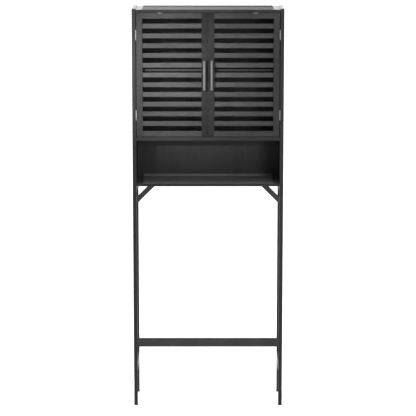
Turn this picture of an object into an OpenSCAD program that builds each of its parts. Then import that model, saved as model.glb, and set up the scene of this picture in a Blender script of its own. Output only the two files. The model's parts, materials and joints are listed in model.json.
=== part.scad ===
// Over-the-toilet storage rack: a square-tube steel frame with a two-door slatted
// cabinet at the top, an open compartment under it and clear space for a toilet below.
// Millimetres, +Z up, the front faces -Y. Every piece is drawn with y = 0 at the front
// faces of the front legs, then moved back by front_y.

/* [Overall size] */
// Width over the outer faces of the legs
width = 635; // [530:5:765]
// Height from the floor to the top of the leg caps
height = 1700; // [1500:5:2050]
// Depth from the front of the front legs to the back of the back legs
depth = 230; // [190:5:300]
// Height of the lower section, from the floor to the leg joint
lower_h = 954; // [780:1:1150]
// Clear height of the open compartment
open_h = 183; // [120:1:260]

/* [Frame tube] */
// Outside size of the square leg tube
tube = 16; // [14:0.5:20]
// Wall of the tubes
tube_wall = 1.2; // [1:0.1:2]
// Outside corner radius of the tubes
tube_corner = 1.5; // [0.5:0.5:2.5]
// Height of the rails that tie the lower legs together under the leg joint
middle_rail_h = 25; // [16:1:40]
// Height of the rails near the floor
low_rail_h = 38; // [20:1:60]
// Underside of the rails near the floor, above the floor
low_rail_z = 146; // [60:1:300]
// Head height of the plastic caps on the legs
cap_h = 5; // [3:0.5:8]
// Depth that the caps reach into the tubes
plug_h = 14; // [8:1:25]
// Gap around the caps and connectors in the tubes
plug_gap = 0.15; // [0.05:0.05:0.4]
// Length of the connectors that join the upper and lower legs
connector_l = 80; // [40:5:120]

/* [Back bracing] */
// Height of the crossbar between the back legs
crossbar_h = 38; // [25:1:60]
// Underside of the crossbar above the floor
crossbar_z = 205; // [120:1:400]
// Sheet of the crossbar
crossbar_sheet = 2; // [1.5:0.5:3]
// Depth of the crossbar's channel
crossbar_d = 12; // [8:1:14]
// How far the channel's face stands in front of its end tabs
crossbar_step = 1; // [0.5:0.5:2]
// Width of the diagonal braces
brace_w = 22; // [16:1:30]
// Thickness of the diagonal braces
brace_t = 3; // [2:0.5:4]
// How far below the leg joint the braces meet the centre of the legs
brace_drop = 97; // [60:1:140]
// Length of the tab that a brace turns under the shelf
brace_tab = 22; // [16:1:30]

/* [Top and shelf trays] */
// Thickness of the boards in the two trays
board_t = 10; // [8:0.5:15]
// Sheet that the tray rails are folded from
sheet = 1.5; // [1:0.25:2]
// How far the tray rails stand above the board
lip = 0.5; // [0:0.25:2]
// Width of the visible flange beside the board
flange_w = 26; // [15:1:35]
// Width of the ledge under the board
ledge_w = 12; // [8:1:18]
// Gap between a board and the rails around it
board_gap = 0.3; // [0.1:0.1:1]
// How far the top tray lies below the leg caps
tray_drop = 3; // [0:0.5:6]
// How far the shelf's back rail stands above its board
shelf_back_lip = 9; // [3:0.5:20]
// How far the top back rail reaches down inside the cabinet
wall_rail_drop = 30; // [20:1:60]
// Radius of the wall fixing holes
wall_hole_r = 2.5; // [2:0.25:4]
// Distance between the wall fixing holes
wall_hole_spacing = 400; // [200:10:440]
// Wall fixing holes below the top tray
wall_hole_drop = 16; // [10:1:18]

/* [Cabinet] */
// Thickness of the side panels
side_t = 12; // [9:0.5:13]
// Thickness of the back panel
back_t = 3; // [2.5:0.5:6]
// Thickness of the cabinet floor
divider_t = 15; // [12:1:20]
// Thickness of the shelf inside the cabinet
inner_t = 9; // [8:0.5:15]
// Height of the shelf pins above the cabinet floor
inner_rise = 271.5; // [120:0.5:400]
// Gap behind the doors before the inner shelf
inner_setback = 16; // [8:1:40]
// Gap between the inner shelf and the side panels
inner_gap = 1.5; // [0.5:0.5:3]
// Radius of the shelf pins
pin_r = 2.5; // [2:0.25:3.5]
// Gap around a shelf pin in its hole
pin_gap = 0.1; // [0.05:0.05:0.3]
// Depth of the shelf pin holes
pin_hole_d = 8; // [6:0.5:8.5]
// Distance between neighbouring pin holes
pin_pitch = 32; // [20:1:40]

/* [Doors] */
// Thickness of the door frames
door_t = 16; // [14:0.5:20]
// How far the doors sit behind the front of the legs
door_inset = 1; // [0:0.5:4]
// Gap between a door and the leg it hangs on
side_gap = 2.4; // [2.4:0.1:4]
// Gap between the two doors
middle_gap = 2; // [2:0.5:5]
// Gap over the doors
top_gap = 1.5; // [1.5:0.25:4]
// Gap under the doors
bottom_gap = 2; // [1:0.25:4]
// Width of the door stiles
stile_w = 25; // [22:1:40]
// Height of the door rails
rail_w = 24; // [18:1:40]
// Height of a slat
slat_h = 20; // [14:1:30]
// Smallest gap between slats
slat_gap_min = 20; // [12:1:30]
// Thickness of a slat
slat_t = 6; // [4:0.5:8]
// Depth that slats and rails reach into the stiles
tenon = 8; // [4:1:12]
// Thickness of the rail tenons
tenon_t = 7; // [5:0.5:9]
// Glue gap around slats and tenons in the stiles
tenon_gap = 0.1; // [0.05:0.05:0.3]

/* [Handles] */
// Length of a handle bar
handle_l = 124; // [110:1:180]
// Radius of a handle bar
handle_r = 7; // [5:0.5:9]
// Bevel at the ends of a handle bar
handle_bevel = 1.5; // [0.5:0.5:2.5]
// Handle bar centre in front of the door
handle_standoff = 22; // [18:1:35]
// Distance between the handle posts
handle_pitch = 96; // [64:32:96]
// Radius of a handle post
post_r = 4.5; // [4:0.5:5]
// Handle centre line from the edge of the door
handle_edge = 14.5; // [12:0.5:20]
// Radius of the handle screws
handle_screw_r = 2; // [1.5:0.25:2.25]

/* [Hinges and catches] */
// Height of a hinge
hinge_h = 41; // [30:1:60]
// Hinge centre from the end of the door
hinge_end = 91; // [60:1:120]
// Radius of the hinge knuckle
knuckle_r = 3; // [2.75:0.25:4]
// Thickness of a hinge leaf
leaf_t = 1.1; // [0.9:0.1:1.1]
// Width of a hinge leaf from the hinge axis
leaf_w = 15; // [13:0.5:16]
// Hinge axis in front of the legs
axis_proud = 2.2; // [2.2:0.1:4]
// Radius of the hinge pins
hinge_pin_r = 1.45; // [1.2:0.05:1.7]
// Running gap around the hinge pins
hinge_gap = 0.05; // [0.02:0.01:0.1]
// Gap between neighbouring knuckles
knuckle_gap = 0.2; // [0.1:0.05:0.4]
// Distance of the catches from the door's hinge edge
catch_edge = 100; // [60:5:150]
// Width of the strike clips
clip_w = 18; // [12:1:25]
// Sheet of the strike clips
clip_t = 0.8; // [0.5:0.1:1]

/* [Screws] */
// Shank radius of the frame screws
frame_screw_r = 2.5; // [2:0.25:3]
// Shank radius of the small wood screws
wood_screw_r = 1.5; // [1:0.25:1.75]
// Gap around a screw shank in its hole
screw_gap = 0.05; // [0.02:0.01:0.2]

/* [Hidden] */
$fn = 48;

handle_front = door_inset - handle_standoff - handle_r;
front_y = -(depth + handle_front) / 2;
leg_x = width / 2 - tube;
back_leg_y = depth - tube;
bore = tube - 2 * tube_wall;

top_z = height - tray_drop;
tray_h = lip + board_t + sheet;
divider_z = lower_h + tray_h - lip + open_h;
divider_top = divider_z + divider_t;
back_rail_y = back_leg_y - sheet;
board_x = leg_x - flange_w - board_gap;
catch_x = leg_x - side_gap - catch_edge;
pin_z = divider_top + inner_rise;
inner_y = door_inset + door_t + inner_setback;
inner_back = back_rail_y - 4;
pin_ys = [inner_y + 18, inner_back - 22];

door_w = leg_x - side_gap - middle_gap / 2;
door_z = divider_top + bottom_gap;
door_top = top_z - tray_h - top_gap;
door_h = door_top - door_z;
door_x = middle_gap / 2;
opening_h = door_h - 2 * rail_w;
opening_w = door_w - 2 * stile_w;
slats = floor((opening_h - slat_gap_min) / (slat_h + slat_gap_min));
slat_gap = (opening_h - slats * slat_h) / (slats + 1);
slat_pitch = slat_h + slat_gap;
slat_y = door_inset + (door_t - slat_t) / 2;
tenon_y = door_inset + (door_t - tenon_t) / 2;
tenon_inset = 3;

axis_x = leg_x - side_gap / 2;
hinge_zs = [door_z + hinge_end, door_top - hinge_end];
knuckles = 5;
knuckle_h = hinge_h / knuckles;
hinge_screw_y = leaf_w - 5;
hinge_screw_z = hinge_h / 2 - 8;
hinge_head_r = wood_screw_r + leaf_t;
leaf_half = (hinge_h - knuckle_gap) / 2;
pin_head_h = 1;
pin_head_r = knuckle_r - 0.4;

handle_x = door_x + handle_edge;
handle_z = (door_z + door_top) / 2;
handle_head_h = 2.5;

brace_z = lower_h - brace_drop;
brace_half = brace_w / sqrt(2);
brace_end = width / 2 - 1;
brace_tab_x = leg_x + tube / 2 - brace_drop;
brace_tab_y = back_leg_y - brace_tab;
crossbar_y = back_leg_y - crossbar_sheet;
board_screw_ys = [depth * 0.25, depth * 0.72];
divider_screw_ys = [depth * 0.22, depth * 0.75];

// ---------- placing ----------

// Everything is drawn for the right side and mirrored for the left
module right() {
    translate([0, front_y, 0])
        children();
}

module left() {
    mirror([1, 0, 0])
        right() children();
}

module both() {
    right() children();
    left() children();
}

// The four corners of the frame, front and back on both sides
module corners() {
    both()
        for (y = [0, back_leg_y])
            translate([leg_x, y, 0])
                children();
}

module box(x, y, z) {
    translate([x[0], y[0], z[0]])
        cube([x[1] - x[0], y[1] - y[0], z[1] - z[0]]);
}

module round_rod(r, h) {
    cylinder(r = r, h = h);
}

// A rod along +Y, and one along +X
module rod_y(r, h) {
    rotate([-90, 0, 0])
        cylinder(r = r, h = h);
}

module rod_x(r, h) {
    rotate([0, 90, 0])
        cylinder(r = r, h = h);
}

// ---------- sections ----------

module rounded_section(w, h, r) {
    translate([r, 0])
        square([w - 2 * r, h]);
    translate([0, r])
        square([w, h - 2 * r]);
    for (x = [r, w - r], y = [r, h - r])
        translate([x, y])
            circle(r = r, $fn = 24);
}

module tube_section(w, h) {
    difference() {
        rounded_section(w, h, tube_corner);
        translate([tube_wall, tube_wall])
            square([w - 2 * tube_wall, h - 2 * tube_wall]);
    }
}

// An upright leg tube from z0 to z1
module leg_tube(z0, z1) {
    translate([0, 0, z0])
        linear_extrude(height = z1 - z0)
            tube_section(tube, tube);
}

// A tube along Y between the front and the back leg
module side_tube(z, h) {
    translate([leg_x, back_leg_y, z])
        rotate([90, 0, 0])
            linear_extrude(height = back_leg_y - tube)
                tube_section(tube, h);
}

// ---------- screws ----------

// Button head screw: the head's underside is at z = 0 and the shank points down
module button_screw(r, length, head_r, head_h) {
    difference() {
        union() {
            translate([0, 0, -length])
                cylinder(r = r, h = length + 0.5 * head_h);
            cylinder(r1 = head_r, r2 = head_r * 0.72, h = head_h);
        }
        translate([0, 0, head_h * 0.4])
            cylinder(r = head_r * 0.42, h = head_h, $fn = 6);
    }
}

// Flat head screw: the top of the head is at z = 0
module flat_screw(r, length, head_r) {
    difference() {
        union() {
            translate([0, 0, -length])
                cylinder(r = r, h = length);
            flat_seat(r, head_r);
        }
        for (turn = [0, 90])
            rotate(turn)
                translate([-head_r * 0.55, -0.3, -0.6])
                    cube([head_r * 1.1, 0.6, 1]);
    }
}

module flat_seat(r, head_r) {
    translate([0, 0, r - head_r])
        cylinder(r1 = r, r2 = head_r, h = head_r - r);
}

// ---------- legs ----------

module lower_leg(y) {
    color("#232426")
        difference() {
            translate([leg_x, y, 0])
                leg_tube(cap_h, lower_h);
            if (y > 0)
                back_leg_holes();
        }
}

module upper_leg(y) {
    color("#232426")
        difference() {
            translate([leg_x, y, 0])
                leg_tube(lower_h, height - cap_h);
            if (y == 0)
                hinge_leg_holes();
        }
}

// Screw holes in the front wall of a back leg
module back_leg_holes() {
    for (z = frame_screw_zs)
        translate([leg_x + tube / 2, back_leg_y - 1, z])
            rod_y(frame_screw_r + screw_gap, tube_wall + 2);
}

// Screw holes for the hinges in the inner wall of a front leg
module hinge_leg_holes() {
    for (z = hinge_zs, side = [-1, 1])
        translate([leg_x - 1, hinge_screw_y - axis_proud, z + side * hinge_screw_z])
            rod_x(wood_screw_r + screw_gap, tube_wall + 2);
}

// The head of a cap, with its plug reaching up into the tube
module cap() {
    color("#17181a") {
        linear_extrude(height = cap_h)
            rounded_section(tube, tube, tube_corner);
        translate([tube_wall + plug_gap, tube_wall + plug_gap, cap_h])
            cube([bore - 2 * plug_gap, bore - 2 * plug_gap, plug_h]);
    }
}

module foot_caps() {
    corners() cap();
}

module leg_top_caps() {
    corners()
        translate([0, tube, height])
            rotate([180, 0, 0])
                cap();
}

module leg_connectors() {
    corners()
        color("#303236")
            translate([tube_wall + plug_gap, tube_wall + plug_gap, lower_h - connector_l / 2])
                cube([bore - 2 * plug_gap, bore - 2 * plug_gap, connector_l]);
}

// ---------- side frames ----------

module top_side_tubes() {
    color("#232426")
        both() side_tube(height - tube, tube);
}

module shelf_side_tubes() {
    color("#232426")
        both() side_tube(lower_h, tube);
}

module middle_side_rails() {
    color("#232426")
        both() side_tube(lower_h - middle_rail_h, middle_rail_h);
}

module lower_side_rails() {
    color("#232426")
        both() side_tube(low_rail_z, low_rail_h);
}

// ---------- back bracing ----------

crossbar_screw_zs = [crossbar_z + crossbar_h * 0.25, crossbar_z + crossbar_h * 0.75];
frame_screw_zs = concat(crossbar_screw_zs, [brace_z]);

// A folded channel between the back legs, with a tab lapped over each leg
module back_crossbar() {
    face_y = crossbar_y - crossbar_step;
    color("#232426")
        right()
            difference() {
                union() {
                    box([-leg_x, leg_x], [face_y, face_y + crossbar_d],
                        [crossbar_z, crossbar_z + crossbar_h]);
                    box([-width / 2 + 1, width / 2 - 1], [crossbar_y, back_leg_y],
                        [crossbar_z, crossbar_z + crossbar_h]);
                }
                box([-leg_x - 1, leg_x + 1],
                    [back_leg_y, face_y + crossbar_d + 1],
                    [crossbar_z + crossbar_sheet, crossbar_z + crossbar_h - crossbar_sheet]);
                for (x = [-1, 1] * (leg_x + tube / 2), z = crossbar_screw_zs)
                    translate([x, crossbar_y - 1, z])
                        rod_y(frame_screw_r + screw_gap, crossbar_sheet + 2);
            }
}

// A flat bar at 45 degrees, with a tab turned under the shelf
module brace() {
    color("#2a2b2d")
        difference() {
            union() {
                translate([0, back_leg_y, 0])
                    rotate([90, 0, 0])
                        linear_extrude(height = brace_t)
                            polygon([
                                [brace_end, brace_z + leg_x + tube / 2 - brace_end - brace_half],
                                [brace_end, brace_z + leg_x + tube / 2 - brace_end + brace_half],
                                [brace_tab_x + brace_half, lower_h],
                                [brace_tab_x - brace_half, lower_h]]);
                box([brace_tab_x - brace_half, brace_tab_x + brace_half],
                    [brace_tab_y, back_leg_y], [lower_h - brace_t, lower_h]);
            }
            translate([leg_x + tube / 2, back_leg_y - brace_t - 1, brace_z])
                rod_y(frame_screw_r + screw_gap, brace_t + 2);
            translate([brace_tab_x, brace_tab_y + 5, lower_h - brace_t - 1])
                round_rod(frame_screw_r + screw_gap, brace_t + 2);
        }
}

// Hole for the brace's upper screw, through the shelf tray
module brace_shelf_hole() {
    translate([brace_tab_x, brace_tab_y + 5, lower_h - 1])
        round_rod(frame_screw_r + screw_gap, sheet + 0.7 * board_t + 1);
}

module frame_screws() {
    head_r = 4.5;
    head_h = 2.4;
    color("#2a2b2d")
        both() {
            for (z = crossbar_screw_zs)
                translate([leg_x + tube / 2, crossbar_y, z])
                    rotate([90, 0, 0])
                        button_screw(frame_screw_r, 10, head_r, head_h);
            translate([leg_x + tube / 2, back_leg_y - brace_t, brace_z])
                rotate([90, 0, 0])
                    button_screw(frame_screw_r, 11, head_r, head_h);
            translate([brace_tab_x, brace_tab_y + 5, lower_h - brace_t])
                rotate([180, 0, 0])
                    button_screw(frame_screw_r, brace_t + sheet + 0.5 * board_t, head_r, head_h);
        }
}

// ---------- trays ----------

// The front rail of a tray, from its underside at z
module front_rail(z) {
    color("#232426")
        right() {
            box([-leg_x, leg_x], [0.5, 0.5 + sheet], [z, z + tray_h]);
            box([-leg_x, leg_x], [0.5 + sheet, ledge_w], [z, z + sheet]);
        }
}

// The back rail of a tray: a ledge under the board and an upright behind it
module back_rail(z, low, high) {
    end = leg_x - flange_w;
    box([-end, end], [back_rail_y, back_leg_y], [low, high]);
    box([-end, end], [back_leg_y - ledge_w, back_rail_y], [z, z + sheet]);
}

// The side rail of a tray: a visible flange, a web, and a ledge under the board
module side_flange(z) {
    inner = leg_x - flange_w;
    flange_z = z + tray_h - lip;
    front = 0.5 + sheet;
    color("#232426") {
        box([inner, leg_x], [front, back_leg_y], [flange_z - sheet, flange_z]);
        box([inner, inner + sheet], [front, back_leg_y], [z + sheet, flange_z - sheet]);
        box([inner - ledge_w, inner + sheet], [ledge_w + board_gap, back_leg_y - ledge_w - board_gap],
            [z, z + sheet]);
    }
}

// A board that drops into a tray, with pilot holes for its four screws
module tray_board(z) {
    difference() {
        box([-board_x, board_x], [0.5 + sheet + board_gap, back_rail_y - board_gap],
            [z + sheet, z + sheet + board_t]);
        for (x = [-1, 1] * board_screw_x, y = board_screw_ys)
            translate([x, y, z])
                round_rod(wood_screw_r + screw_gap, sheet + board_screw_l);
    }
}

board_screw_x = leg_x - flange_w - ledge_w / 2;
board_screw_l = 0.7 * board_t;
top_tray_z = top_z - tray_h;

module ledge_holes(z) {
    for (y = board_screw_ys)
        translate([board_screw_x, y, z - 1])
            round_rod(wood_screw_r + screw_gap, sheet + 2);
}

module top_front_rail() {
    front_rail(top_tray_z);
}

module shelf_front_rail() {
    front_rail(lower_h);
}

module top_back_rail() {
    color("#232426")
        right()
            difference() {
                back_rail(top_tray_z, top_tray_z - wall_rail_drop, height);
                wall_holes();
            }
}

// The two holes that take the wall screws, through the back rail and the back panel
module wall_holes() {
    for (x = [-1, 1] * wall_hole_spacing / 2)
        translate([x, back_rail_y - 1, top_tray_z - wall_hole_drop])
            rod_y(wall_hole_r, sheet + back_t + 2);
}

module shelf_back_rail() {
    color("#232426")
        right()
            back_rail(lower_h, lower_h, lower_h + tray_h - lip + shelf_back_lip);
}

module top_side_flanges() {
    both()
        difference() {
            side_flange(top_tray_z);
            ledge_holes(top_tray_z);
        }
}

module shelf_side_flanges() {
    both()
        difference() {
            side_flange(lower_h);
            ledge_holes(lower_h);
        }
}

module top_board() {
    color("#35363a")
        right()
            difference() {
                tray_board(top_tray_z);
                for (side = [-1, 1])
                    catch_screw_holes(side);
            }
}

module shelf_board() {
    color("#2c2d30")
        difference() {
            right() tray_board(lower_h);
            both() brace_shelf_hole();
        }
}

module board_screws() {
    color("#2a2b2d")
        both()
            for (z = [top_tray_z, lower_h], y = board_screw_ys)
                translate([board_screw_x, y, z])
                    rotate([180, 0, 0])
                        button_screw(wood_screw_r, sheet + 0.6 * board_t, 3.2, 1.8);
}

// ---------- cabinet ----------

module side_panel() {
    color("#2b2c2f")
        difference() {
            box([leg_x, leg_x + side_t], [tube, back_leg_y], [lower_h + tube, height - tube]);
            for (y = pin_ys, step = [-2:2])
                translate([leg_x - 1, y, pin_z + step * pin_pitch])
                    rod_x(pin_r + pin_gap, pin_hole_d + 1);
            for (y = divider_screw_ys)
                translate([leg_x - 1, y, divider_z + divider_t / 2])
                    rod_x(frame_screw_r + screw_gap, side_t + 2);
            for (y = divider_screw_ys)
                translate([leg_x + side_t, y, divider_z + divider_t / 2])
                    rotate([0, 90, 0])
                        flat_seat(frame_screw_r + screw_gap, 5);
        }
}

module back_panel() {
    color("#2b2c2f")
        right()
            difference() {
                box([-leg_x, leg_x], [back_leg_y, back_leg_y + back_t], [lower_h, top_z]);
                wall_holes();
            }
}

module cabinet_floor() {
    color("#313236")
        right()
            difference() {
                box([-leg_x, leg_x], [0.5, back_leg_y], [divider_z, divider_top]);
                for (side = [-1, 1], y = divider_screw_ys)
                    translate([side * leg_x, y, divider_z + divider_t / 2])
                        rotate([0, -side * 90, 0])
                            translate([0, 0, -1])
                                round_rod(frame_screw_r + screw_gap, 36);
            }
}

module cabinet_floor_screws() {
    color("#2a2b2d")
        both()
            for (y = divider_screw_ys)
                translate([leg_x + side_t, y, divider_z + divider_t / 2])
                    rotate([0, 90, 0])
                        flat_screw(frame_screw_r, side_t + 34, 5);
}

module inner_shelf() {
    edge = leg_x - inner_gap;
    color("#35363a")
        right()
            box([-edge, edge], [inner_y, inner_back], [pin_z + pin_r, pin_z + pin_r + inner_t]);
}

module shelf_pins() {
    color("#b9bcc0")
        both()
            for (y = pin_ys)
                translate([leg_x, y, pin_z]) {
                    translate([-9, 0, 0])
                        rod_x(pin_r, 9 + pin_hole_d - 0.5);
                }
}

module catch_screw_holes(side) {
    for (x = [-1, 1] * catch_screw_x)
        translate([side * catch_x + x, catch_y + catch_d / 2, top_tray_z])
            round_rod(wood_screw_r + screw_gap, sheet + 0.6 * board_t);
}

catch_w = 34;
catch_d = 16;
catch_h = 14;
catch_y = door_inset + door_t + clip_t + 0.2;
catch_screw_x = 13;
catch_z = top_tray_z + sheet;

// A magnet in a housing that hangs under the top board
module magnetic_catches() {
    color("#1b1c1e")
        both()
            translate([catch_x, catch_y, catch_z - catch_h]) {
                difference() {
                    union() {
                        box([-9, 9], [0, catch_d], [0, catch_h]);
                        box([-catch_w / 2, catch_w / 2], [1, catch_d], [catch_h - 3, catch_h]);
                    }
                    for (x = [-1, 1] * catch_screw_x)
                        translate([x, catch_d / 2, catch_h - 4])
                            round_rod(wood_screw_r + screw_gap, 5);
                }
            }
}

module catch_screws() {
    color("#a9acb0")
        both()
            for (x = [-1, 1] * catch_screw_x)
                translate([catch_x + x, catch_y + catch_d / 2, catch_z - 3])
                    rotate([180, 0, 0])
                        button_screw(wood_screw_r, 3 + 0.4 * board_t, 2.6, 1.5);
}

// ---------- hinges ----------

// Every second knuckle, from the first one given
module knuckle_stack(first, r, trim) {
    for (i = [first:2:knuckles - 1])
        translate([0, 0, i * knuckle_h - hinge_h / 2 + trim])
            cylinder(r = r, h = knuckle_h - 2 * trim);
}

// One hinge leaf on the +X side of the hinge axis, its knuckles from the first given
module leaf(first) {
    difference() {
        union() {
            difference() {
                box([side_gap / 2 - leaf_t, side_gap / 2], [0, leaf_w], [-leaf_half, leaf_half]);
                knuckle_stack(1 - first, knuckle_r + 0.15, -knuckle_gap / 2);
            }
            knuckle_stack(first, knuckle_r, knuckle_gap / 2);
        }
        translate([0, 0, -hinge_h])
            cylinder(r = hinge_pin_r + hinge_gap, h = 2 * hinge_h);
        for (z = [-1, 1] * hinge_screw_z)
            translate([side_gap / 2 - leaf_t, hinge_screw_y, z])
                rotate([0, -90, 0]) {
                    translate([0, 0, -leaf_t - 1])
                        cylinder(r = wood_screw_r + screw_gap, h = leaf_t + 2);
                    flat_seat(wood_screw_r + screw_gap, hinge_head_r);
                }
    }
}

module at_hinges() {
    for (z = hinge_zs)
        translate([axis_x, -axis_proud, z])
            children();
}

module hinge_frame_leaves() {
    color("#b4b7ba")
        both() at_hinges() leaf(0);
}

module door_leaves() {
    color("#b4b7ba")
        at_hinges()
            mirror([1, 0, 0])
                leaf(1);
}

module hinge_pins() {
    color("#c4c7ca")
        both()
            at_hinges() {
                translate([0, 0, -leaf_half])
                    cylinder(r = hinge_pin_r, h = 2 * leaf_half);
                for (z = [leaf_half, -leaf_half - pin_head_h])
                    translate([0, 0, z])
                        cylinder(r = pin_head_r, h = pin_head_h);
            }
}

// Flat head screws through the leaf on the +X side of the hinge axis
module leaf_screws(length) {
    for (z = [-1, 1] * hinge_screw_z)
        translate([side_gap / 2 - leaf_t, hinge_screw_y, z])
            rotate([0, -90, 0])
                flat_screw(wood_screw_r, length, hinge_head_r);
}

module hinge_frame_screws() {
    color("#b4b7ba")
        both() at_hinges() leaf_screws(9);
}

module door_leaf_screws() {
    color("#b4b7ba")
        at_hinges()
            mirror([1, 0, 0])
                leaf_screws(14);
}

// ---------- doors ----------

// A stile from x, with mortises for the rails and slats cut from its side facing +X or -X
module stile(x, inner_edge) {
    color("#35363a")
        difference() {
            box([x, x + stile_w], [door_inset, door_inset + door_t], [door_z, door_top]);
            translate([inner_edge, 0, 0])
                mortises();
        }
}

module mortises() {
    reach = tenon + tenon_gap;
    for (z = [door_z, door_top - rail_w])
        box([-reach, reach], [tenon_y - tenon_gap, tenon_y + tenon_t + tenon_gap],
            [z + tenon_inset - tenon_gap, z + rail_w - tenon_inset + tenon_gap]);
    for (i = [0:slats - 1])
        box([-reach, reach], [slat_y - tenon_gap, slat_y + slat_t + tenon_gap],
            [slat_z(i) - tenon_gap, slat_z(i) + slat_h + tenon_gap]);
}

function slat_z(i) = door_z + rail_w + slat_gap + i * slat_pitch;

module hinge_stile() {
    x = door_x + door_w - stile_w;
    difference() {
        stile(x, x);
        for (z = hinge_zs, side = [-1, 1])
            translate([door_x + door_w - 14, hinge_screw_y - axis_proud, z + side * hinge_screw_z])
                rod_x(wood_screw_r + screw_gap, 15);
    }
}

module free_stile() {
    difference() {
        stile(door_x, door_x + stile_w);
        for (z = [-1, 1] * handle_pitch / 2)
            translate([handle_x, door_inset - 1, handle_z + z])
                rod_y(handle_screw_r + screw_gap, door_t + 2);
    }
}

module door_rails() {
    x0 = door_x + stile_w;
    x1 = x0 + opening_w;
    color("#35363a")
        for (z = [door_z, door_top - rail_w]) {
            box([x0, x1], [door_inset, door_inset + door_t], [z, z + rail_w]);
            box([x0 - tenon, x1 + tenon], [tenon_y, tenon_y + tenon_t],
                [z + tenon_inset, z + rail_w - tenon_inset]);
        }
}

module slat_set() {
    x0 = door_x + stile_w - tenon;
    color("#3a3b3f")
        for (i = [0:slats - 1])
            box([x0, x0 + opening_w + 2 * tenon], [slat_y, slat_y + slat_t],
                [slat_z(i), slat_z(i) + slat_h]);
}

module handle() {
    bar_y = door_inset - handle_standoff;
    color("#8d9094")
        difference() {
            union() {
                translate([handle_x, bar_y, handle_z - handle_l / 2])
                    handle_bar();
                for (z = [-1, 1] * handle_pitch / 2)
                    translate([handle_x, bar_y, handle_z + z])
                        rod_y(post_r, handle_standoff);
            }
            for (z = [-1, 1] * handle_pitch / 2)
                translate([handle_x, bar_y + 6, handle_z + z])
                    rod_y(handle_screw_r + screw_gap, handle_standoff);
        }
}

// The bar, turned in one piece with a bevel at each end
module handle_bar() {
    rotate_extrude()
        polygon([
            [0, 0], [handle_r - handle_bevel, 0], [handle_r, handle_bevel],
            [handle_r, handle_l - handle_bevel], [handle_r - handle_bevel, handle_l],
            [0, handle_l]]);
}

module handle_screws() {
    color("#a9acb0")
        for (z = [-1, 1] * handle_pitch / 2)
            translate([handle_x, door_inset + door_t, handle_z + z])
                rotate([-90, 0, 0])
                    button_screw(handle_screw_r, door_t + 12, 4, handle_head_h);
}

// A steel clip over the top edge of the door, facing the magnet
module strike_clip() {
    back = door_inset + door_t;
    x = [catch_x - clip_w / 2, catch_x + clip_w / 2];
    color("#c4c7ca") {
        box(x, [door_inset - clip_t, back + clip_t], [door_top, door_top + clip_t]);
        box(x, [back, back + clip_t], [door_top - 12, door_top]);
        box(x, [door_inset - clip_t, door_inset], [door_top - 2.5, door_top]);
    }
}

// ---------- nodes ----------

left() lower_leg(0);  // lower_front_leg_left
right() lower_leg(0);  // lower_front_leg_right
left() lower_leg(back_leg_y);  // lower_back_leg_left
right() lower_leg(back_leg_y);  // lower_back_leg_right
left() upper_leg(0);  // upper_front_leg_left
right() upper_leg(0);  // upper_front_leg_right
left() upper_leg(back_leg_y);  // upper_back_leg_left
right() upper_leg(back_leg_y);  // upper_back_leg_right
foot_caps();
leg_top_caps();
leg_connectors();
top_side_tubes();
shelf_side_tubes();
middle_side_rails();
lower_side_rails();
back_crossbar();
left() brace();  // brace_left
right() brace();  // brace_right
frame_screws();
top_front_rail();
top_back_rail();
top_side_flanges();
top_board();
shelf_front_rail();
shelf_back_rail();
shelf_side_flanges();
shelf_board();
board_screws();
left() side_panel();  // side_panel_left
right() side_panel();  // side_panel_right
back_panel();
cabinet_floor();
cabinet_floor_screws();
inner_shelf();
shelf_pins();
magnetic_catches();
catch_screws();
hinge_frame_leaves();
hinge_pins();
hinge_frame_screws();
left() hinge_stile();  // left_hinge_stile
left() free_stile();  // left_free_stile
left() door_rails();  // left_door_rails
left() slat_set();  // left_slats
left() door_leaves();  // left_door_leaves
left() door_leaf_screws();  // left_leaf_screws
left() handle();  // left_handle
left() handle_screws();  // left_handle_screws
left() strike_clip();  // left_strike_clip
right() hinge_stile();  // right_hinge_stile
right() free_stile();  // right_free_stile
right() door_rails();  // right_door_rails
right() slat_set();  // right_slats
right() door_leaves();  // right_door_leaves
right() door_leaf_screws();  // right_leaf_screws
right() handle();  // right_handle
right() handle_screws();  // right_handle_screws
right() strike_clip();  // right_strike_clip
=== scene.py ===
"""Over the toilet storage rack: eased edges, coatings, wood grain, studio light and camera."""

import json
import math

import bmesh
import bpy
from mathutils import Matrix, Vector


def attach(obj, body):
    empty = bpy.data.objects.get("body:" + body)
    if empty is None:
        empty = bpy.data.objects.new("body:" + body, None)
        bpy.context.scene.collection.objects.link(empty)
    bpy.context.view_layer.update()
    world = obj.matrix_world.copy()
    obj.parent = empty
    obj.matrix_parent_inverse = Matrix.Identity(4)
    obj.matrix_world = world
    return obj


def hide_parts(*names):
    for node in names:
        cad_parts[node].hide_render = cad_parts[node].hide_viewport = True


MM = 0.001

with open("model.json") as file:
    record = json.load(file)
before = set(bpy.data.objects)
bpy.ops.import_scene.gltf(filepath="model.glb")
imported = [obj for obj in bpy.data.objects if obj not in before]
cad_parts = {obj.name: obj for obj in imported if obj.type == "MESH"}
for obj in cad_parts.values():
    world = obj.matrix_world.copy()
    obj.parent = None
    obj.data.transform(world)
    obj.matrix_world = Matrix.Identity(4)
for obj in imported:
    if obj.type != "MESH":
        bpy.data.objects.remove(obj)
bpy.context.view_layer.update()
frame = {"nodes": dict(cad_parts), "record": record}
nodes = frame["nodes"]
body_of_node = {
    node: body
    for body, members in frame["record"]["behaviour"]["bodies"].items()
    for node in members
}
slot_of_node = {part["node"]: part["material_slot"] for part in frame["record"]["subparts"]}


def put(name, data):
    """A new object in the scene."""
    item = bpy.data.objects.new(name, data)
    bpy.context.scene.collection.objects.link(item)
    return item


# ---------------------------------------------------------------- camera

# The camera has no shift, so it stands further back than the photo's and looks down
CAMERA_PLACE = (0.0, -7.936, 2.253)
CAMERA_TILT = math.radians(10.07)
CAMERA_LENS = 163.0
CAMERA_SENSOR = 36.0
CAMERA_REACH = 200.0


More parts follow.
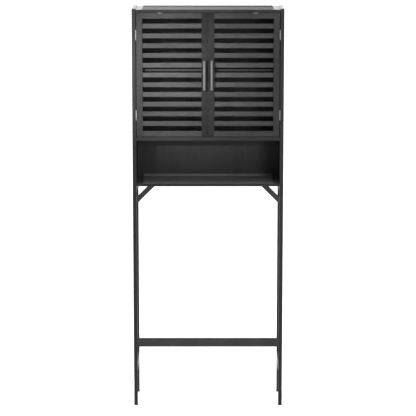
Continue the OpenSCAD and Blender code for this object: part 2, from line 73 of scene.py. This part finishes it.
def photo_camera():
    """The photo's view: square to the front, and from a little above."""
    data = bpy.data.cameras.new("camera")
    data.lens = CAMERA_LENS
    data.sensor_width = CAMERA_SENSOR
    data.clip_end = CAMERA_REACH
    camera = put("camera", data)
    camera.location = CAMERA_PLACE
    camera.rotation_euler = (math.pi / 2 - CAMERA_TILT, 0, 0)
    bpy.context.scene.camera = camera


photo_camera()

# ---------------------------------------------------------------- materials

# most values of a noise texture lie between these
NOISE_LOW = 0.3
NOISE_HIGH = 0.7


class Nodes:
    """The node tree of a material or a world, with one call per node."""

    def __init__(self, owner):
        owner.use_nodes = True
        self.owner = owner
        self.tree = owner.node_tree
        self.tree.nodes.clear()

    def add(self, kind, settings=None, **inputs):
        """One node. Values and sockets go to its inputs by name, or by number as i0, i1 and so on."""
        node = self.tree.nodes.new(kind)
        for key, value in (settings or {}).items():
            setattr(node, key, value)
        for key, value in inputs.items():
            numbered = key[0] == "i" and key[1:].isdigit()
            socket = node.inputs[int(key[1:]) if numbered else key.replace("_", " ")]
            if isinstance(value, bpy.types.NodeSocket):
                self.tree.links.new(value, socket)
            else:
                socket.default_value = value
        return node

    def place(self, scale=(1, 1, 1), offset=None):
        """Object coordinates in metres, stretched by scale and moved by a socket."""
        point = self.add("ShaderNodeTexCoord").outputs["Object"]
        if offset:
            shift = self.add("ShaderNodeCombineXYZ", X=offset, Y=offset, Z=offset)
            point = self.add("ShaderNodeVectorMath", {"operation": "ADD"}, i0=point, i1=shift.outputs[0])
            point = point.outputs[0]
        return self.add("ShaderNodeMapping", Vector=point, Scale=scale).outputs[0]

    def noise(self, vector, waves, detail=3.0, roughness=0.55):
        """A noise with so many waves to the metre."""
        node = self.add(
            "ShaderNodeTexNoise", Vector=vector, Scale=waves, Detail=detail, Roughness=roughness
        )
        return node.outputs["Fac"]

    def remap(self, value, low, high, out_low, out_high, interpolation="LINEAR"):
        """The range from low to high turned into the one from out_low to out_high, and held there."""
        settings = {"interpolation_type": interpolation}
        node = self.add(
            "ShaderNodeMapRange", settings, i0=value, i1=low, i2=high, i3=out_low, i4=out_high
        )
        return node.outputs[0]

    def vary(self, noise, low, high):
        """A noise spread over the values from low to high."""
        return self.remap(noise, NOISE_LOW, NOISE_HIGH, low, high)

    def spots(self, noise, start, full, most=1.0):
        """Zero where a noise is below start, and most where it is above full."""
        return self.remap(noise, start, full, 0.0, most)

    def between(self, share, low, high):
        """A share from 0 to 1 turned into a value from low to high."""
        return self.remap(share, 0.0, 1.0, low, high)

    def math(self, operation, first, second):
        node = self.add("ShaderNodeMath", {"operation": operation}, i0=first, i1=second)
        return node.outputs[0]

    def times(self, first, second):
        return self.math("MULTIPLY", first, second)

    def attribute(self, name):
        node = self.add("ShaderNodeAttribute", {"attribute_name": name})
        return node.outputs["Fac"]

    def blend(self, factor, first, second):
        node = self.add("ShaderNodeMix", {"data_type": "RGBA"}, i0=factor, i6=first, i7=second)
        return node.outputs[2]

    def bump(self, height, distance, strength, under=None):
        """A bumped normal, on top of the one that lies under it."""
        node = self.add("ShaderNodeBump", Height=height, Distance=distance, Strength=strength)
        if under:
            self.tree.links.new(under, node.inputs["Normal"])
        return node.outputs[0]

    def finish(self, color, roughness, normal, metallic=0.0, specular=0.5):
        """The surface shader and the output; the material comes back."""
        shader = self.add(
            "ShaderNodeBsdfPrincipled",
            Base_Color=color,
            Roughness=roughness,
            Normal=normal,
            Metallic=metallic,
            Specular_IOR_Level=specular,
        )
        self.add("ShaderNodeOutputMaterial", Surface=shader.outputs[0])
        return self.owner


def material_nodes(name):
    return Nodes(bpy.data.materials.new(name))


def gray(value):
    return (value, value, value, 1.0)


def stretch(along, amount):
    """The scale that draws a texture out along one axis."""
    return [amount if axis == along else 1.0 for axis in "XYZ"]


def coated_steel(name, color, worn, roughness, specular):
    """Powder coat: orange peel, slow gloss changes, and thin lighter wear where an edge is rubbed."""
    n = material_nodes(name)
    point = n.place()
    peel = n.noise(point, waves=1100, detail=2.0)
    slow = n.noise(point, waves=16, detail=4.0)
    rub = n.spots(n.noise(point, waves=120, detail=5.0), start=0.5, full=0.72)
    wear = n.times(n.attribute("edge"), rub)
    tone = n.blend(n.vary(slow, low=0.0, high=1.0), gray(color * 0.82), gray(color * 1.18))
    tone = n.blend(n.times(wear, 0.5), tone, gray(worn))
    rough = n.vary(slow, roughness - 0.05, roughness + 0.06)
    bump = n.bump(peel, distance=0.06 * MM, strength=0.5)
    return n.finish(tone, rough, bump, specular=specular)


# how much the fibres of the wood are drawn out, and how far a board's tone moves its texture
FIBRE_STRETCH = 0.055
BOARD_SPACING = 7.3
# depth of the open pores of stained wood, and of those that are printed into laminate
WOOD_PORE = 0.12 * MM
LAMINATE_PORE = 0.05 * MM


def black_wood(name, along, pore_depth, color, contrast, roughness, specular):
    """Black-stained wood: long fibres and open pores along one axis, with its own tone per board."""
    n = material_nodes(name)
    board = n.attribute("board")
    offset = n.times(board, BOARD_SPACING)
    point = n.place(stretch(along, FIBRE_STRETCH), offset)
    fibre = n.noise(point, waves=520, detail=5.0, roughness=0.62)
    figure = n.noise(point, waves=60, roughness=0.5)
    patch = n.noise(n.place(offset=offset), waves=9, roughness=0.5)
    pores = n.spots(fibre, start=0.50, full=0.62)
    shade = n.vary(figure, 1 - contrast, 1 + contrast)
    shade = n.times(shade, n.vary(patch, 1 - contrast, 1 + contrast))
    shade = n.times(shade, n.between(board, low=0.8, high=1.2))
    shade = n.times(shade, n.between(pores, 1 + 0.7 * contrast, 1 - 2.2 * contrast))
    tone = n.blend(n.times(shade, 0.5), gray(0.0), gray(color * 2.0))
    rub = n.spots(n.noise(point, waves=90, detail=4.0), start=0.5, full=0.7, most=0.5)
    tone = n.blend(n.times(n.attribute("edge"), rub), tone, gray(color * 2.2))
    rough = n.between(pores, roughness, roughness + 0.2)
    bump = n.bump(n.math("SUBTRACT", 1.0, pores), pore_depth, strength=0.6)
    bump = n.bump(figure, pore_depth, strength=0.4, under=bump)
    return n.finish(tone, rough, bump, specular=specular)


def moulded_plastic(name, color):
    """Matt plastic with a fine spark-eroded grain."""
    n = material_nodes(name)
    point = n.place()
    grain = n.noise(point, waves=1500, detail=2.0)
    slow = n.noise(point, waves=40)
    tone = n.blend(slow, gray(color * 0.7), gray(color * 1.3))
    bump = n.bump(grain, distance=0.05 * MM, strength=0.5)
    return n.finish(tone, n.vary(slow, 0.5, 0.62), bump, specular=0.2)


BRUSH_STRETCH = 0.02


def brushed_metal(name, along, color, roughness, contrast):
    """Bare or plated metal with brush lines along one axis and a few coarser scratches."""
    n = material_nodes(name)
    point = n.place(stretch(along, BRUSH_STRETCH))
    lines = n.noise(point, waves=2600, roughness=0.6)
    scratch = n.spots(n.noise(point, waves=700, detail=5.0, roughness=0.7), start=0.62, full=0.75)
    slow = n.noise(n.place(), waves=35)
    tone = n.blend(lines, gray(color * (1 - contrast)), gray(color * (1 + contrast)))
    tone = n.blend(n.times(scratch, 0.3), tone, gray(color * 0.5))
    rough = n.math("ADD", n.vary(lines, roughness - 0.05, roughness + 0.05), n.vary(slow, -0.03, 0.05))
    bump = n.bump(n.math("ADD", lines, scratch), distance=0.02 * MM, strength=0.4)
    return n.finish(tone, rough, bump, metallic=1.0)


def plated_screw(name, color):
    """Black zinc: dark metal with a faint mottled film."""
    n = material_nodes(name)
    mottle = n.noise(n.place(), waves=420, detail=4.0)
    tone = n.blend(mottle, gray(color * 0.6), gray(color * 1.5))
    bump = n.bump(mottle, distance=0.03 * MM, strength=0.4)
    return n.finish(tone, n.vary(mottle, 0.3, 0.45), bump, metallic=0.7)


STEEL = coated_steel("powder_coat", color=0.011, worn=0.09, roughness=0.38, specular=0.13)
# a lighter copy of the same powder coat for the crossbar and braces: painted light
STEEL_FLAT_PAINTED_LIGHT = coated_steel("powder_coat_flat_bar_painted_light", color=0.024, worn=0.12, roughness=0.40, specular=0.17)
# a lighter, glossier copy for the top's side rails: painted sheen, standing in for the grazing
# reflection of the bright room behind
STEEL_TOP_PAINTED_SHEEN = coated_steel("powder_coat_top_painted_sheen", color=0.03, worn=0.12, roughness=0.36, specular=0.25)
# a much lighter copy for the open shelf's rails, flanges and back lip: painted highlight
STEEL_LIP_PAINTED_HIGHLIGHT = coated_steel("powder_coat_lip_painted_highlight", color=0.055, worn=0.12, roughness=0.38, specular=0.30)

# slats and door rails lie across the door, and its stiles stand upright
WOOD_X = black_wood("door_wood_across", "X", WOOD_PORE,
                    color=0.0185, contrast=0.22, roughness=0.40, specular=0.2)
# a darker copy of the slats' wood for the door rails: painted shade
WOOD_RAIL_PAINTED_SHADE = black_wood("door_wood_rail_painted_shade", "X", WOOD_PORE,
                       color=0.015, contrast=0.20, roughness=0.42, specular=0.2)
# a darker copy with upright grain for the hinge stiles: painted shade; the upright grain is real
WOOD_Z_PAINTED_SHADE = black_wood("door_wood_upright_painted_shade", "Z", WOOD_PORE,
                    color=0.012, contrast=0.18, roughness=0.42, specular=0.16)
# a much darker copy with upright grain for the middle stiles by the handles: painted shade
WOOD_FREE_PAINTED_SHADE = black_wood("door_wood_middle_painted_shade", "Z", WOOD_PORE,
                       color=0.006, contrast=0.18, roughness=0.44, specular=0.1)

BOARD_X = black_wood("board_laminate", "X", LAMINATE_PORE,
                     color=0.045, contrast=0.12, roughness=0.60, specular=0.08)
# a lighter, glossier copy of the laminate for the open shelf's top: painted light
BOARD_SHELF_PAINTED_LIGHT = black_wood("shelf_laminate_painted_light", "X", LAMINATE_PORE,
                         color=0.11, contrast=0.12, roughness=0.55, specular=0.25)
# a darker copy of the laminate for the cabinet floor and inner shelf behind the doors: painted shade
BOARD_INSIDE_PAINTED_SHADE = black_wood("inside_laminate_painted_shade", "X", LAMINATE_PORE,
                        color=0.012, contrast=0.12, roughness=0.45, specular=0.15)
PANEL_Z = black_wood("panel_laminate", "Z", LAMINATE_PORE,
                     color=0.019, contrast=0.06, roughness=0.45, specular=0.06)

PLASTIC = moulded_plastic("moulded_plastic", color=0.008)
SCREW = plated_screw("black_zinc", color=0.05)
GUNMETAL = brushed_metal("brushed_gunmetal", "Z", color=0.09, roughness=0.62, contrast=0.15)
NICKEL = brushed_metal("nickel_plate", "Z", color=0.18, roughness=0.62, contrast=0.08)
CLIP_STEEL = brushed_metal("clip_steel", "X", color=0.10, roughness=0.40, contrast=0.08)

SLOT_MATERIAL = {
    "black_steel": STEEL,
    "black_plastic": PLASTIC,
    "black_screw": SCREW,
    "black_panel": PANEL_Z,
    "black_board": BOARD_X,
    "door_wood": WOOD_X,
    "brushed_handle": GUNMETAL,
    "bright_steel": NICKEL,
}
# nodes whose grain or tone differs from the rest of their slot; the lighter and darker copies among them
# are painted light, painted sheen, painted highlight and painted shade
NODE_MATERIAL = {
    "back_crossbar": STEEL_FLAT_PAINTED_LIGHT,
    "brace_left": STEEL_FLAT_PAINTED_LIGHT,
    "brace_right": STEEL_FLAT_PAINTED_LIGHT,
    "shelf_back_rail": STEEL_LIP_PAINTED_HIGHLIGHT,
    "shelf_side_flanges": STEEL_LIP_PAINTED_HIGHLIGHT,
    "shelf_side_tubes": STEEL_LIP_PAINTED_HIGHLIGHT,
    "top_side_flanges": STEEL_TOP_PAINTED_SHEEN,
    "top_side_tubes": STEEL_TOP_PAINTED_SHEEN,
    "shelf_board": BOARD_SHELF_PAINTED_LIGHT,
    "cabinet_floor": BOARD_INSIDE_PAINTED_SHADE,
    "inner_shelf": BOARD_INSIDE_PAINTED_SHADE,
}
for side in ("left", "right"):
    NODE_MATERIAL[side + "_hinge_stile"] = WOOD_Z_PAINTED_SHADE
    NODE_MATERIAL[side + "_free_stile"] = WOOD_FREE_PAINTED_SHADE
    NODE_MATERIAL[side + "_door_rails"] = WOOD_RAIL_PAINTED_SHADE
    NODE_MATERIAL[side + "_strike_clip"] = CLIP_STEEL


def material_of(node):
    return NODE_MATERIAL.get(node, SLOT_MATERIAL[slot_of_node[node]])


# ---------------------------------------------------------------- pieces with eased edges

# vertices that lie closer than this are one vertex
WELD = 0.001 * MM
# faces that meet at less than this are one flat face
FLAT = math.radians(0.5)
# edges sharper than this are eased
SHARP = math.radians(28)
# what is still sharper than this stays a hard edge in the shading
CREASE = math.radians(50)
EASE_SEGMENTS = 2

# how far the sharp edges of a slot's pieces are eased
SLOT_EASE = {
    "black_steel": 0.3 * MM,
    "black_plastic": 0.5 * MM,
    "black_screw": 0.15 * MM,
    "black_panel": 0.4 * MM,
    "black_board": 0.4 * MM,
    "door_wood": 0.9 * MM,
    "brushed_handle": 0.3 * MM,
    "bright_steel": 0.12 * MM,
}


# numbers that scatter the tones of the boards
SOLID_STEP = 37
SCATTER_TURN = 12.9898
SCATTER_SIZE = 43758.5453


def board_tone(index, name):
    """A repeatable value from 0 to 1 for each solid of a node."""
    seed = sum((i + 1) * ord(c) for i, c in enumerate(name)) + SOLID_STEP * index
    return math.sin(seed * SCATTER_TURN) * SCATTER_SIZE % 1.0


def low_corner(group):
    """The lowest, leftmost and foremost places that a group of faces reaches, to a tenth of a mm."""
    places = [vert.co for face in group for vert in face.verts]
    return [min(round(place[axis], 4) for place in places) for axis in (2, 0, 1)]


def solids_of(mesh):
    """The connected groups of faces, lowest first."""
    left = set(mesh.faces)
    groups = []
    while left:
        group = set()
        waiting = [next(iter(left))]
        while waiting:
            face = waiting.pop()
            if face in group:
                continue
            group.add(face)
            waiting += [other for edge in face.edges for other in edge.link_faces if other not in group]
        groups.append(group)
        left -= group
    return sorted(groups, key=low_corner)


def eased_mesh(node):
    """A CAD node's own shape, with its sharp edges rounded over and marked for wear."""
    mesh = bmesh.new()
    mesh.from_mesh(nodes[node].data)
    bmesh.ops.remove_doubles(mesh, verts=mesh.verts, dist=WELD)
    bmesh.ops.dissolve_limit(mesh, angle_limit=FLAT, verts=mesh.verts, edges=mesh.edges)
    sharp = [e for e in mesh.edges if len(e.link_faces) == 2 and e.calc_face_angle() > SHARP]
    edge = mesh.faces.layers.float.new("edge")
    board = mesh.faces.layers.float.new("board")
    for index, group in enumerate(solids_of(mesh)):
        for face in group:
            face[board] = board_tone(index, node)
    made = bmesh.ops.bevel(
        mesh, geom=sharp, offset=SLOT_EASE[slot_of_node[node]], segments=EASE_SEGMENTS, profile=0.5,
        affect="EDGES", clamp_overlap=True, offset_type="OFFSET",
    )
    for face in made["faces"]:
        face[edge] = 1.0
    for face in mesh.faces:
        face.smooth = True
    data = bpy.data.meshes.new(node + "_piece")
    mesh.to_mesh(data)
    mesh.free()
    data.set_sharp_from_angle(angle=CREASE)
    return data


def eased_piece(node):
    """The piece that stands in for a CAD node."""
    data = eased_mesh(node)
    data.materials.append(material_of(node))
    piece = put(node + "_piece", data)
    weighted = piece.modifiers.new("weighted", "WEIGHTED_NORMAL")
    weighted.keep_sharp = True
    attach(piece, body_of_node[node])
    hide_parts(node)


for node in nodes:
    eased_piece(node)


# ---------------------------------------------------------------- floor and light

FLOOR_REACH = 60.0


def floor():
    """A pale painted floor that reaches well past the picture."""
    mesh = bmesh.new()
    bmesh.ops.create_grid(mesh, x_segments=4, y_segments=4, size=FLOOR_REACH)
    data = bpy.data.meshes.new("floor")
    mesh.to_mesh(data)
    mesh.free()
    n = material_nodes("floor_paint")
    point = n.place()
    tone = n.blend(n.noise(point, waves=1.5, detail=2.0), gray(0.86), gray(0.9))
    bump = n.bump(n.noise(point, waves=300), distance=0.1 * MM, strength=0.2)
    data.materials.append(n.finish(tone, 0.8, bump, specular=0.2))
    piece = put("floor", data)


def light(kind, name, place, target, power):
    """A light of any kind, turned from its place to its target."""
    data = bpy.data.lights.new(name, kind)
    data.energy = power
    item = put(name, data)
    item.location = place
    item.rotation_euler = (Vector(target) - Vector(place)).to_track_quat("-Z", "Y").to_euler()
    return data


def sun_light(name, place, target, strength, spread):
    data = light("SUN", name, place, target, strength)
    data.angle = math.radians(spread)


def area_light(name, place, target, power, size):
    data = light("AREA", name, place, target, power)
    data.shape = "RECTANGLE"
    data.size, data.size_y = size


def spot_light(name, place, target, power, cone, radius):
    data = light("SPOT", name, place, target, power)
    data.spot_size = math.radians(cone)
    data.spot_blend = 1.0
    data.shadow_soft_size = radius


# how far round to the back, and how far up, the room starts to get brighter and is at its brightest
BACK_START, BACK_FULL = 0.1, 0.95
TOP_START, TOP_FULL = 0.2, 1.0


def studio(sides, behind, above, backdrop):
    """A room that is brighter behind and above the object, and that the camera sees as plain white."""
    world = bpy.data.worlds.new("studio")
    n = Nodes(world)
    toward = n.add("ShaderNodeSeparateXYZ", Vector=n.add("ShaderNodeTexCoord").outputs["Generated"])
    back = n.remap(toward.outputs["Y"], BACK_START, BACK_FULL, 0.0, behind, "SMOOTHSTEP")
    top = n.remap(toward.outputs["Z"], TOP_START, TOP_FULL, 0.0, above, "SMOOTHSTEP")
    strength = n.math("ADD", n.math("ADD", back, top), sides)
    room = n.add("ShaderNodeBackground", Color=gray(1.0), Strength=strength)
    white = n.add("ShaderNodeBackground", Color=gray(1.0), Strength=backdrop)
    seen = n.add("ShaderNodeLightPath").outputs["Is Camera Ray"]
    mix = n.add("ShaderNodeMixShader", i0=seen, i1=room.outputs[0], i2=white.outputs[0])
    n.add("ShaderNodeOutputWorld", Surface=mix.outputs[0])
    bpy.context.scene.world = world


floor()
studio(sides=0.16, behind=2.2, above=0.6, backdrop=1.05)
sun_light("overhead", place=(-0.3, 0.2, 3.0), target=(0, 0, 0), strength=2.2, spread=50)
# The key comes from higher up than the camera, so that the slats hide what it lights behind them
spot_light("key", place=(-2.1, -5.2, 2.48), target=(-0.17, -0.1, 1.44),
           power=3750, cone=7.4, radius=0.16)
area_light("fill", place=(2.2, -6.0, 2.05), target=(0, 0, 1.3), power=180, size=(1.5, 1.5))
area_light("high_fill", place=(-0.6, -5.2, 3.4), target=(0, 0, 0.9), power=40, size=(2.0, 2.0))
area_light("right_box", place=(3.2, -2.6, 1.6), target=(0, 0, 1.2), power=35, size=(1.0, 2.4))
spot_light("top_glow", place=(-0.6, 0.15, 2.8), target=(-0.36, 0.13, 1.70),
           power=270, cone=30, radius=0.35)

bpy.context.scene.view_settings.view_transform = "Standard"
